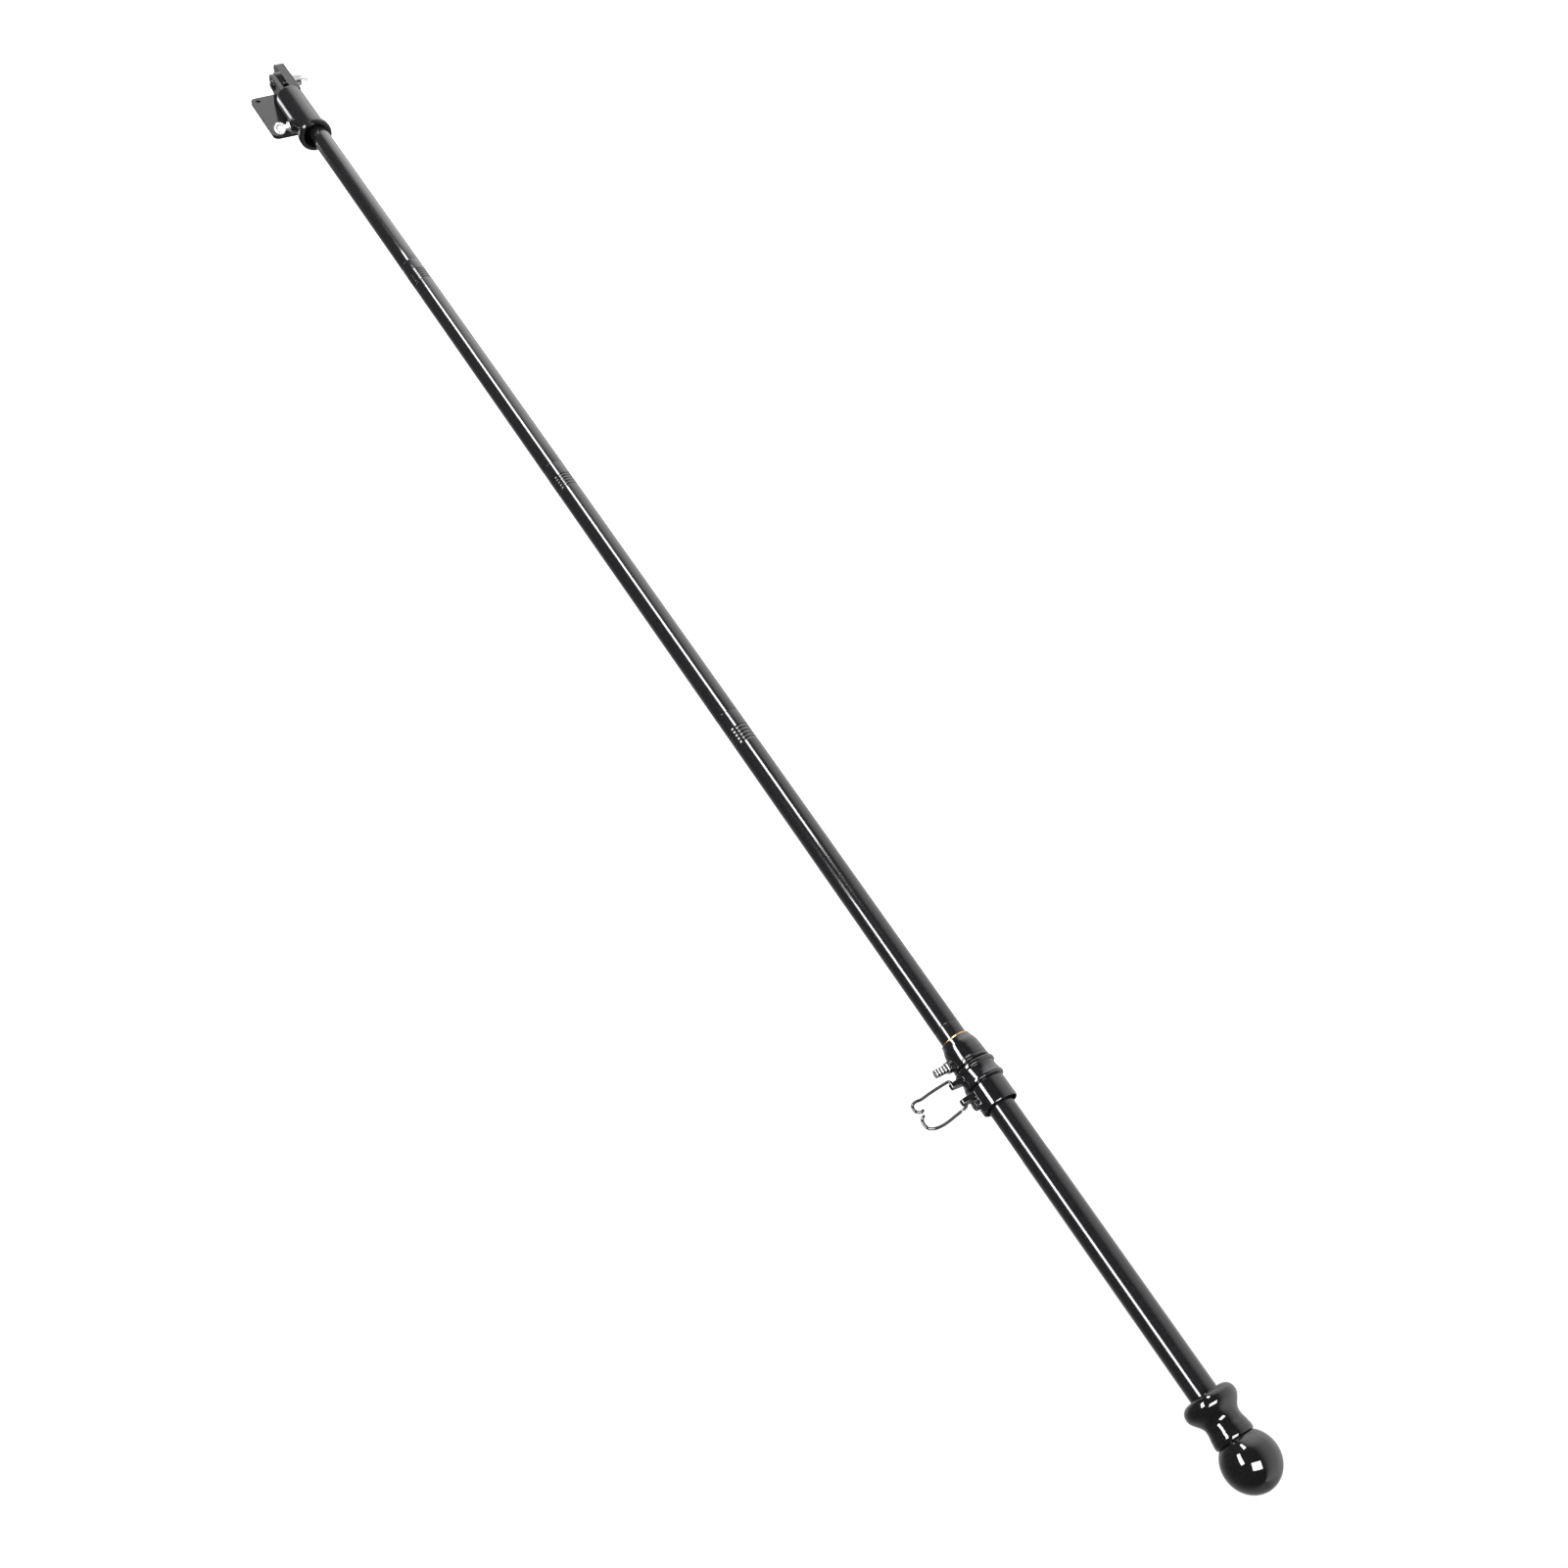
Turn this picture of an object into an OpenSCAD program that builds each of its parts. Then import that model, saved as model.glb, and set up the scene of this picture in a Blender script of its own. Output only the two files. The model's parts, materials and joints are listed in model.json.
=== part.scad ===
// Sectional flagpole with an adjustable wall bracket, a swivelling flag ring and a ball finial.
// Millimetres. The wall plate's back lies on y = 0, the wall is on its +Y side, and +Z runs up the pole.
// The origin is the centre of the plate's back face. At rest the pole stands parallel to the wall.

/* [Bracket base] */
// Width of the wall plate
plate_w = 48; // [40:1:80]
// Height of the wall plate
plate_h = 74; // [60:1:120]
// Thickness of the wall plate
plate_t = 4; // [3:0.5:8]
// Corner radius of the wall plate
plate_r = 6; // [3:0.5:10]
// Diameter of each of the four screw holes
screw_hole_d = 5; // [4:0.5:7]
// Distance from a screw hole's centre to the plate's edges
screw_inset = 7; // [5:0.5:10]
// Distance from the wall to the pivot bolt's axis
pivot_reach = 38; // [34:1:60]
// Thickness of the lug that carries the pivot bolt
lug_t = 6; // [4:0.5:10]
// Radius of the lug's round end
lug_r = 11; // [9:0.5:14]
// Height of the lug where it meets the plate
lug_root = 42; // [30:1:56]

/* [Bracket socket] */
// Bore of the socket tube
socket_bore_d = 25.4; // [22:0.1:40]
// Wall of the socket tube
socket_wall = 1.7; // [1.4:0.1:4]
// Depth of the socket tube's bore
socket_depth = 72; // [60:1:120]
// Thickness of the socket's closed end
socket_floor = 3; // [2:0.5:6]
// Distance from the pivot bolt's axis to the socket's closed end
socket_rise = 27; // [22:1:40]
// How far the thick rim at the socket's mouth stands out from the tube
rim_out = 2.6; // [1.6:0.1:6]
// Length of the rim
rim_len = 6; // [4:0.5:12]
// Thickness of the clevis ear beside the bolt head
ear_head_t = 4; // [3:0.5:8]
// Thickness of the clevis ear beside the wing nut
ear_nut_t = 9; // [4:0.5:12]
// Half width of both clevis ears
ear_r = 10; // [8:0.5:12]
// How far the ear beside the wing nut runs on past the bolt
ear_tail = 16; // [0:1:20]
// Diameter of the pivot bolt
bolt_d = 8; // [6:0.5:10]
// Diameter of both thumbscrews' threads
screw_d = 6; // [5:0.5:8]
// Wall of the boss that the socket's thumbscrew runs in
boss_wall = 4; // [3:0.5:6]
// How far that boss stands out from the tube
boss_rise = 3.5; // [2:0.5:6]
// Diameter of the thumbscrew's flat paddle
paddle_d = 12; // [10:0.2:24]
// Distance from the socket's floor to its thumbscrew
socket_screw_rise = 47; // [30:1:60]

/* [Pole] */
// Outside diameter of the pole
pole_d = 19.05; // [16:0.05:22]
// Wall of the pole tube
pole_wall = 0.9; // [0.7:0.1:1.6]
// Length of each pole section that shows
section_len = 304.8; // [200:0.1:500]
// Number of rolled grooves at the foot of a section
groove_count = 5; // [1:1:7]
// Pitch of the rolled grooves
groove_pitch = 3.4; // [3:0.1:5]
// Depth of the rolled grooves
groove_depth = 0.45; // [0.2:0.05:0.6]
// Distance from a seam to the middle of its first groove
groove_start = 13.6; // [8:0.1:20]
// Length of the spigot that screws into the next section
spigot_len = 34; // [30:1:60]

/* [Flag ring] */
// Distance from the last seam to the flag ring
ring_offset = 10.8; // [6:0.1:80]
// Wall of the ring's brass liner
liner_wall = 1; // [0.8:0.1:2]
// Length of the clamped upper sleeve
sleeve_len = 21.6; // [18:0.1:40]
// Wall of the upper sleeve, outside the liner
sleeve_wall = 3.2; // [2.6:0.1:6]
// Wall of the swivel's raised rings, outside the liner
swivel_wall = 4.6; // [3.6:0.1:8]
// Length of the waisted swivel ring
swivel_len = 14.9; // [14:0.1:30]
// Length of the swivel's long collar
collar_len = 18.2; // [17:0.1:50]
// Wall of the swivel's long collar, outside the liner
collar_wall = 2.8; // [2.2:0.1:3.5]
// Distance from the swivel's raised rings out to the clip's hinge line
hinge_out = 5.3; // [4:0.1:12]
// Diameter of the clip's wire
wire_d = 2.2; // [1.6:0.1:3]
// Length of the clip from its hinge line to its nose
clip_len = 33.6; // [28:0.2:60]

/* [Finial] */
// Wall of the finial's waist, outside the pole
waist_wall = 2.6; // [1.6:0.1:6]
// How far the finial's flange stands out from its waist
flange_out = 5.9; // [3:0.1:15]
// How far the lip below the ball stands out from the waist
lip_out = 1.4; // [1:0.1:4]
// Length of the finial's base
finial_base_len = 30; // [26:0.5:60]
// Diameter of the finial's ball
ball_d = 37.4; // [32:0.2:70]
// Depth of the pole's end inside the finial
finial_grip = 21.6; // [12:0.2:24]

/* [Hidden] */
$fn = 64;

// Clearances
side_gap = 0.4;        // between the lug and each clevis ear
pin_gap = 0.08;        // round a bolt or screw, on the radius
seat_gap = 0.05;       // between curved faces that sit on each other
spigot_gap = 0.1;      // round the spigot, inside the rolled ridges
run_gap = 0.3;         // between the liner and the swivel
face_gap = 0.5;        // between the sleeve and the swivel

section_count = 5;

// Bracket
socket_r = socket_bore_d / 2 + socket_wall;
socket_floor_z = socket_rise + socket_floor;
socket_top_z = socket_floor_z + socket_depth;
ear_in = lug_t / 2 + side_gap;
bolt_hole_r = bolt_d / 2 + pin_gap;
washer_t = 1.6;
washer_r = bolt_d;
bolt_head_h = 2.8;
bolt_head_r = bolt_d * 0.8;
nut_h = 8;
nut_r = bolt_d * 0.85;
nut_face_x = -ear_in - ear_nut_t - washer_t;
socket_screw_z = socket_floor_z + socket_screw_rise;
boss_r = screw_d / 2 + boss_wall;
boss_out = socket_r + boss_rise;
rim_r = socket_r + rim_out;

// Pole
pole_r = pole_d / 2;
pole_x = pole_r - socket_bore_d / 2 + seat_gap;
pole_foot_z = socket_floor_z;
tube_r = pole_r - pole_wall;
spigot_r = tube_r - groove_depth - spigot_gap;
seam_t = 1.2;
groove_share = 0.84;
pole_top_z = pole_foot_z + section_count * section_len;

// Flag ring, measured from its upper edge
ring_z = pole_foot_z + (section_count - 1) * section_len + ring_offset;
liner_in = pole_r + seat_gap;
liner_r = liner_in + liner_wall;
swivel_z = sleeve_len + face_gap;
collar_z = swivel_z + swivel_len;
collar_end = collar_z + collar_len;
retainer_t = 1.5;
mouth_len = 4;
mouth_lip = 0.9;
liner_end = collar_end - mouth_len;
retainer_r = liner_r + 0.6;
recess_r = retainer_r + run_gap;
swivel_in = liner_r + run_gap;
sleeve_r = liner_r + sleeve_wall;
swivel_r = liner_r + swivel_wall;
collar_r = liner_r + collar_wall;
clip_reach = swivel_r + hinge_out;
boss_z = collar_end - 8.6;
boss_foot_x = swivel_in + 1.3;
collar_boss_x = collar_r + 3;
bead_len = 1;
sleeve_screw_z = sleeve_len - 6.4;
sleeve_boss_x = sleeve_r + 2.4;
lug1_z = swivel_z + 6;
lug2_z = collar_z + 4.3;
clip_lug_t = 4;
boss_screw_r = 2.5;
gate_root_x = 4.6;
gate_gap = 0.5;

// Finial, measured from the edge of its flange
finial_z = pole_top_z - finial_grip;
waist_r = pole_r + waist_wall;
flange_r = waist_r + flange_out;
lip_r = waist_r + lip_out;
stub_r = 4;
ball_seat_r = lip_r - 1.4;
ball_rise = finial_base_len + sqrt(pow(ball_d / 2, 2) - pow(ball_seat_r, 2));

// A rounded plate outline, centred
module round_rect(w, h, r) {
    union() {
        square([w - 2 * r, h], center = true);
        square([w, h - 2 * r], center = true);
        for (sx = [-1, 1], sy = [-1, 1])
            translate([sx * (w / 2 - r), sy * (h / 2 - r)]) circle(r);
    }
}

// A cylinder along +X from x0 to x1
module x_rod(r, x0, x1) {
    translate([x0, 0, 0]) rotate([0, 90, 0]) cylinder(r = r, h = x1 - x0);
}

// A flat outline in the YZ plane, given as (y, z), made solid from x0 to x1
module yz_plate(x0, x1) {
    translate([x0, 0, 0]) rotate([90, 0, 90]) linear_extrude(x1 - x0) children();
}

// An S-shaped rise from 0 to 1
function eased(t) = (1 - cos(180 * t)) / 2;

// Points of a smooth curve through a list of points
function smooth(p, steps) = [
    for (i = [0 : len(p) - 2])
        let (a = p[max(i - 1, 0)], b = p[i], c = p[i + 1], d = p[min(i + 2, len(p) - 1)])
        for (k = [0 : steps - (i < len(p) - 2 ? 1 : 0)])
            let (t = k / steps)
            (2 * b + (c - a) * t + (2 * a - 5 * b + 4 * c - d) * t * t
             + (3 * b - a - 3 * c + d) * t * t * t) / 2];

// A round wire that follows points in the XZ plane
module wire(points, r) {
    sides = 12;
    path = smooth(points, 5);
    n = len(path);
    ring_points = [
        for (i = [0 : n - 1])
            let (d = path[min(i + 1, n - 1)] - path[max(i - 1, 0)], u = d / norm(d))
            for (k = [0 : sides - 1])
                let (a = 360 * k / sides)
                path[i] + r * (cos(a) * [u[2], 0, -u[0]] + sin(a) * [0, 1, 0])];
    side_faces = [
        for (i = [0 : n - 2], k = [0 : sides - 1])
            let (j = (k + 1) % sides)
            [i * sides + k, i * sides + j, (i + 1) * sides + j, (i + 1) * sides + k]];
    polyhedron(ring_points, concat(side_faces,
        [[for (k = [sides - 1 : -1 : 0]) k]], [[for (k = [0 : sides - 1]) (n - 1) * sides + k]]));
}

module at_pivot() { translate([0, -pivot_reach, 0]) children(); }
module at_pole() { translate([pole_x, -pivot_reach, 0]) children(); }
module at_ring() { translate([pole_x, -pivot_reach, ring_z]) children(); }

// Wall plate with the pivot lug cast on it
module bracket_base() {
    reach = pivot_reach - plate_t / 2;
    root = lug_root / 2;
    tip = acos(lug_r / norm([reach, root])) + atan2(root, reach);
    color("#1c1c1e") difference() {
        union() {
            rotate([90, 0, 0]) linear_extrude(plate_t) round_rect(plate_w, plate_h, plate_r);
            at_pivot() yz_plate(-lug_t / 2, lug_t / 2) union() {
                circle(lug_r);
                polygon([[reach, root], [lug_r * cos(tip), lug_r * sin(tip)],
                         [lug_r * cos(tip), -lug_r * sin(tip)], [reach, -root]]);
            }
        }
        for (sx = [-1, 1], sz = [-1, 1])
            translate([sx * (plate_w / 2 - screw_inset), 1, sz * (plate_h / 2 - screw_inset)])
                rotate([90, 0, 0]) cylinder(d = screw_hole_d, h = plate_t + 2);
        at_pivot() x_rod(bolt_hole_r, -lug_t, lug_t);
    }
}

// Socket tube with its rim, thumbscrew boss and clevis ears
module bracket_socket() {
    round_r = 5;
    rim_z = socket_top_z - rim_len;
    rim_edge = 1.5;
    color("#1a1a1c") difference() {
        union() {
            at_pivot() rotate_extrude() polygon(concat(
                [[0, socket_rise]],
                [for (a = [0 : 15 : 90])
                    [socket_r - round_r + round_r * sin(a), socket_rise + round_r - round_r * cos(a)]],
                [[socket_r, rim_z - rim_out], [rim_r - rim_edge, rim_z - rim_edge / 2],
                 [rim_r, rim_z + rim_edge / 2], [rim_r, socket_top_z - rim_edge],
                 [rim_r - rim_edge, socket_top_z], [0, socket_top_z]]));
            at_pivot() ear(ear_in, ear_in + ear_head_t, 0);
            at_pivot() ear(-ear_in - ear_nut_t, -ear_in, ear_tail);
            at_pivot() translate([0, 0, socket_screw_z]) x_rod(boss_r, socket_bore_d / 2, boss_out);
        }
        at_pivot() translate([0, 0, socket_floor_z]) cylinder(d = socket_bore_d, h = socket_depth + 1);
        at_pivot() x_rod(bolt_hole_r, -ear_in - ear_nut_t - 1, ear_in + ear_head_t + 1);
        at_pivot() translate([0, 0, socket_screw_z]) x_rod(screw_d / 2 + pin_gap, 0, boss_out + 1);
    }
}

// One clevis ear, from x0 to x1, that runs on past the bolt by tail
module ear(x0, x1, tail) {
    yz_plate(x0, x1) union() {
        translate([0, -tail]) circle(ear_r);
        translate([-ear_r, -tail]) square([2 * ear_r, tail + socket_rise + 3]);
    }
}

// Round-headed pivot bolt, its head on the +X side
module pivot_bolt() {
    head_x = ear_in + ear_head_t;
    past_nut = 3;
    color("#c9cacc") at_pivot() union() {
        x_rod(bolt_d / 2, nut_face_x - nut_h - past_nut, head_x);
        translate([head_x, 0, 0]) rotate([0, 90, 0]) rotate_extrude()
            polygon(concat([[0, 0]],
                [for (a = [0 : 10 : 90]) [bolt_head_r * cos(a), bolt_head_h * sin(a)]]));
    }
}

// Flat washer between the -X ear and the wing nut
module nut_washer() {
    color("#c4c5c8") at_pivot() difference() {
        x_rod(washer_r, nut_face_x, nut_face_x + washer_t);
        x_rod(bolt_d / 2 + pin_gap, nut_face_x - 1, nut_face_x + washer_t + 1);
    }
}

// Wing nut on the -X end of the bolt. Each wing is a round pad on a web that runs out of the hub
module wing_nut() {
    turn = 25;
    taper = 1.2;
    wing_t = 2.6;
    wing_r = 5.2;
    wing_out = 11;
    wing_x = -3;
    tip_x = wing_x - 2 * wing_r;
    color("#d0d1d4") at_pivot() translate([nut_face_x, 0, 0]) rotate([turn, 0, 0]) difference() {
        union() {
            rotate([0, -90, 0]) cylinder(r1 = nut_r, r2 = nut_r - taper, h = nut_h);
            for (side = [0, 180]) rotate([side, 0, 0]) translate([0, wing_t / 2, 0])
                rotate([90, 0, 0]) linear_extrude(wing_t) union() {
                    translate([wing_x - wing_r, wing_out]) circle(wing_r);
                    polygon([[-1, 0], [-1, nut_r], [wing_x, wing_out], [tip_x, wing_out],
                             [-nut_h, nut_r - 2 * taper], [-nut_h, 0]]);
                }
        }
        x_rod(bolt_d / 2 + pin_gap, tip_x, 1);
    }
}

// A thumbscrew along +X whose tip is at the origin: threaded stem, shoulder, neck and flat round paddle
module thumbscrew(stem, turn) {
    shoulder_r = screw_d / 2 + 1.8;
    shoulder_t = 1.6;
    neck_r = 2.6;
    neck_len = 4;
    paddle_t = 2.8;
    paddle_x = stem + neck_len + paddle_d / 2;
    rotate([turn, 0, 0]) union() {
        x_rod(screw_d / 2, 0, stem + 2);
        translate([stem, 0, 0]) rotate([0, 90, 0]) rotate_extrude()
            polygon([[0, 0], [shoulder_r, 0], [shoulder_r, shoulder_t], [neck_r, neck_len + 1],
                     [0, neck_len + 1]]);
        translate([paddle_x, 0, 0]) rotate([90, 0, 0]) translate([0, 0, -paddle_t / 2])
            cylinder(d = paddle_d, h = paddle_t);
    }
}

// Thumbscrew that clamps the pole in the socket
module socket_thumbscrew() {
    tip_x = pole_x + pole_r + seat_gap;
    paddle_turn = -58;
    color("#d3d4d6") at_pivot() translate([tip_x, 0, socket_screw_z])
        thumbscrew(boss_out + side_gap - tip_x, paddle_turn);
}

// Points of the rolled grooves on radius r, from foot or, with reverse set, from the top down
function groove_points(r, reverse) = [
    for (g = [0 : groove_count - 1])
        for (a = [0 : 30 : 180])
            let (n = reverse ? groove_count - 1 - g : g, t = reverse ? 180 - a : a)
            [r - groove_depth * sin(t),
             groove_start + groove_pitch * (n - groove_share / 2 * cos(t))]];

// One section of the pole tube. Every section but the last has a spigot at its top
module pole_section(index) {
    foot = pole_foot_z + (index - 1) * section_len;
    outer = groove_points(pole_r, false);
    inner = groove_points(tube_r, true);
    top = index < section_count
        ? [[pole_r, section_len], [spigot_r, section_len], [spigot_r, section_len + spigot_len - 1],
           [spigot_r - 0.5, section_len + spigot_len],
           [spigot_r - pole_wall, section_len + spigot_len],
           [spigot_r - pole_wall, section_len - seam_t], [tube_r, section_len - seam_t]]
        : [[pole_r, section_len], [tube_r, section_len]];
    color("#222224") at_pole() translate([0, 0, foot]) rotate_extrude()
        polygon(concat([[tube_r, 0], [pole_r, 0]], outer, top, inner));
}

module pole_section_1() { pole_section(1); }
module pole_section_2() { pole_section(2); }
module pole_section_3() { pole_section(3); }
module pole_section_4() { pole_section(4); }
module pole_section_5() { pole_section(5); }

// Brass liner that the sleeve clamps to the pole, and that the swivel runs on
module ring_liner() {
    bead_r = liner_r + 0.3;
    color("#b08a4a") at_ring() difference() {
        rotate_extrude() polygon([[liner_in, 0], [bead_r, 0], [bead_r, bead_len], [liner_r, bead_len],
                                  [liner_r, liner_end], [liner_in, liner_end]]);
        translate([0, 0, sleeve_screw_z]) x_rod(screw_d / 2 + pin_gap, 0, sleeve_r);
    }
}

// Upper sleeve, clamped by its thumbscrew
module ring_sleeve() {
    r = sleeve_r;
    in_r = liner_r + seat_gap;
    color("#1e1e20") at_ring() difference() {
        union() {
            rotate_extrude() polygon([[in_r, bead_len], [liner_r + 0.3, bead_len],
                [r - 2.7, 2], [r - 2, 4], [r - 1.2, 6], [r - 0.8, 8], [r - 0.4, 13],
                [r - 0.3, sleeve_len - 3.4], [r - 0.9, sleeve_len - 3.1], [r - 0.9, sleeve_len - 2.7],
                [r - 0.1, sleeve_len - 2.4], [r, sleeve_len - 1], [r - 0.6, sleeve_len - 0.5],
                [r - 1.3, sleeve_len], [in_r, sleeve_len]]);
            translate([0, 0, sleeve_screw_z]) x_rod(screw_d / 2 + 1.2, in_r, sleeve_boss_x);
        }
        translate([0, 0, sleeve_screw_z]) x_rod(screw_d / 2 + pin_gap, 0, sleeve_boss_x + 1);
    }
}

// Knurled screw that clamps the sleeve and liner to the pole
module sleeve_thumbscrew() {
    tip = pole_r + seat_gap;
    out = sleeve_boss_x + side_gap;
    rib_count = 5;
    rib_pitch = 2.3;
    rib_t = 1.2;
    rib_r = screw_d / 2 + 0.1;
    collar_t = 1;
    core_r = rib_r - 0.6;
    color("#d3d4d6") at_ring() translate([0, 0, sleeve_screw_z]) union() {
        x_rod(screw_d / 2, tip, out + 1);
        for (i = [0 : rib_count - 1]) {
            x_rod(i == 0 ? rib_r + collar_t : rib_r, out + i * rib_pitch, out + i * rib_pitch + rib_t);
            x_rod(core_r, out + i * rib_pitch, out + (i + 1) * rib_pitch);
        }
    }
}

// A lug on the swivel that holds one end of the clip; z is its middle
module clip_lug(z) {
    lug_end_r = 3;
    root_x = swivel_in + 1;
    translate([0, 0, z - clip_lug_t / 2]) difference() {
        union() {
            translate([clip_reach, 0, 0]) cylinder(r = lug_end_r, h = clip_lug_t);
            translate([root_x, -lug_end_r, 0]) cube([clip_reach - root_x, 2 * lug_end_r, clip_lug_t]);
        }
        translate([clip_reach, 0, -1]) cylinder(r = wire_d / 2 + pin_gap, h = clip_lug_t + 2);
    }
}

// Waisted ring that turns on the liner
module swivel_ring() {
    r = swivel_r;
    w = r - 1.5;
    z0 = swivel_z;
    z1 = collar_z;
    color("#1c1c1e") at_ring() union() {
        rotate_extrude() polygon([[swivel_in, z0], [r - 2, z0], [r - 1.5, z0 + 0.6], [r - 0.4, z0 + 0.9],
            [r, z0 + 1.4], [r, z0 + 3.2], [r - 0.4, z0 + 3.7], [w, z0 + 4.2], [w, z0 + 6.4],
            [w + 0.2, z0 + 8.4], [r - 0.7, z0 + 11], [r, z1 - 2], [r, z1 - 0.8], [r - 0.4, z1 - 0.3],
            [r - 1.4, z1], [swivel_in, z1]]);
        clip_lug(lug1_z);
    }
}

// Long collar below the waisted ring, turning with it
module swivel_collar() {
    c = collar_r;
    mouth_r = c - mouth_lip;
    z0 = collar_z;
    z1 = collar_end;
    color("#1c1c1e") at_ring() difference() {
        union() {
            rotate_extrude() polygon([[swivel_in, z0], [c - 1, z0], [c - 1, z0 + 0.5], [c - 0.2, z0 + 0.9],
                [c, z0 + 1.4], [c, z1 - 0.8], [c - 0.2, z1 - 0.2], [c - 0.45, z1], [c - 0.7, z1 - 0.1],
                [mouth_r, z1 - 0.6], [mouth_r, liner_end], [recess_r, liner_end - 0.4],
                [recess_r, liner_end - retainer_t - face_gap],
                [swivel_in, liner_end - retainer_t - face_gap]]);
            clip_lug(lug2_z);
            translate([0, 0, boss_z]) x_rod(boss_screw_r + 1.7, boss_foot_x, collar_boss_x);
        }
        translate([0, 0, boss_z]) x_rod(boss_screw_r, boss_foot_x, collar_boss_x + 1);
    }
}

// Blind screw in the collar's boss
module collar_screw() {
    socket_deep = 1.6;
    end_x = collar_boss_x - 0.4;
    color("#2a2a2c") at_ring() translate([0, 0, boss_z]) difference() {
        x_rod(boss_screw_r - seat_gap, boss_foot_x, end_x);
        x_rod(boss_screw_r / 2, end_x - socket_deep, end_x + 1);
    }
}

// Snap ring on the liner that keeps the swivel on it
module ring_retainer() {
    color("#2c2c2e") at_ring() translate([0, 0, liner_end - retainer_t]) difference() {
        cylinder(r = retainer_r, h = retainer_t);
        translate([0, 0, -1]) cylinder(r = liner_r + seat_gap, h = retainer_t + 2);
    }
}

// Clip wire from the upper lug, along the straight arm and round the nose
module clip_frame() {
    z = lug1_z - clip_lug_t / 2;
    tip = clip_len;
    color("#cfd0d3") at_ring() translate([clip_reach, 0, z]) wire([
        [0, 0, clip_lug_t], [0, 0, 0], [1, 0, -1.9], [3.6, 0, -2.2], [16, 0, -1.2], [25, 0, 0],
        [tip - 4.6, 0, -0.3], [tip - 1.2, 0, 0.7], [tip, 0, 3.4], [tip - 0.8, 0, 6.2],
        [tip - 3.6, 0, 7.8], [tip - 6, 0, 7]
        ], wire_d / 2);
}

// Bent wire pin that holds the clip's gate in the lower lug
module clip_root() {
    z = lug2_z + clip_lug_t / 2;
    color("#cfd0d3") at_ring() translate([clip_reach, 0, z]) wire([
        [0, 0, -clip_lug_t], [0, 0, 0], [0.8, 0, 1.3], [2.4, 0, 2], [gate_root_x, 0, 2.4]
        ], wire_d / 2);
}

// Springy arm of the clip, from its root round to the nose
module clip_gate() {
    z = lug2_z + clip_lug_t / 2;
    nose = lug1_z - clip_lug_t / 2 - z;
    tip = clip_len;
    color("#cfd0d3") at_ring() translate([clip_reach, 0, z]) wire([
        [gate_root_x + gate_gap, 0, 2.5], [9.5, 0, 3.4], [20.5, 0, 5.2], [tip - 5.6, 0, 4.8],
        [tip - 1, 0, 2.2], [tip - 0.4, 0, nose + 14.4], [tip - 2, 0, nose + 11.6],
        [tip - 4.2, 0, nose + 10.6]
        ], wire_d / 2);
}

// Moulded finial base that caps the pole
module finial_base() {
    f = flange_r;
    w = waist_r;
    n = lip_r;
    l = finial_base_len;
    edge_r = 5.8;
    fall_from = 6.5;
    fall_to = l - 12.2;
    rise_to = l - 4.5;
    color("#1b1b1d") at_pole() translate([0, 0, finial_z]) difference() {
        rotate_extrude() polygon(concat([[0, 0]],
            [for (a = [0 : 10 : 90]) [f - edge_r + edge_r * sin(a), edge_r - edge_r * cos(a)]],
            [for (t = [0 : 0.1 : 1]) [f + (w - f) * eased(t), fall_from + (fall_to - fall_from) * t]],
            [for (t = [0.2 : 0.2 : 1]) [w + (n - w) * eased(t), fall_to + 1 + (rise_to - fall_to - 1) * t]],
            [[n, l - 0.9], [n - 0.3, l - 0.3], [n - 0.9, l], [0, l]]));
        translate([0, 0, -1]) cylinder(r = pole_r + seat_gap, h = finial_grip + 1);
        translate([0, 0, finial_grip]) cylinder(r = stub_r, h = l);
    }
}

// Ball with a stub that seats in the finial base
module finial_ball() {
    r = ball_d / 2;
    color("#1b1b1d") at_pole() translate([0, 0, finial_z]) union() {
        intersection() {
            translate([0, 0, ball_rise]) sphere(r);
            translate([-r, -r, finial_base_len]) cube([2 * r, 2 * r, 3 * r]);
        }
        translate([0, 0, finial_grip + 1])
            cylinder(r = stub_r - seat_gap, h = finial_base_len - finial_grip);
    }
}

bracket_base();
bracket_socket();
pivot_bolt();
head_washer();
nut_washer();
wing_nut();
socket_thumbscrew();
pole_section_1();
pole_section_2();
pole_section_3();
pole_section_4();
pole_section_5();
ring_liner();
ring_sleeve();
sleeve_thumbscrew();
swivel_ring();
swivel_collar();
ring_retainer();
collar_screw();
clip_frame();
clip_root();
clip_gate();
finial_base();
finial_ball();
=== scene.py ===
"""The looks of a sectional flagpole: black tube, cast wall bracket, swivelling flag ring and ball finial."""
import json
import math

import bmesh
import bpy
from mathutils import Matrix, Vector


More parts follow.
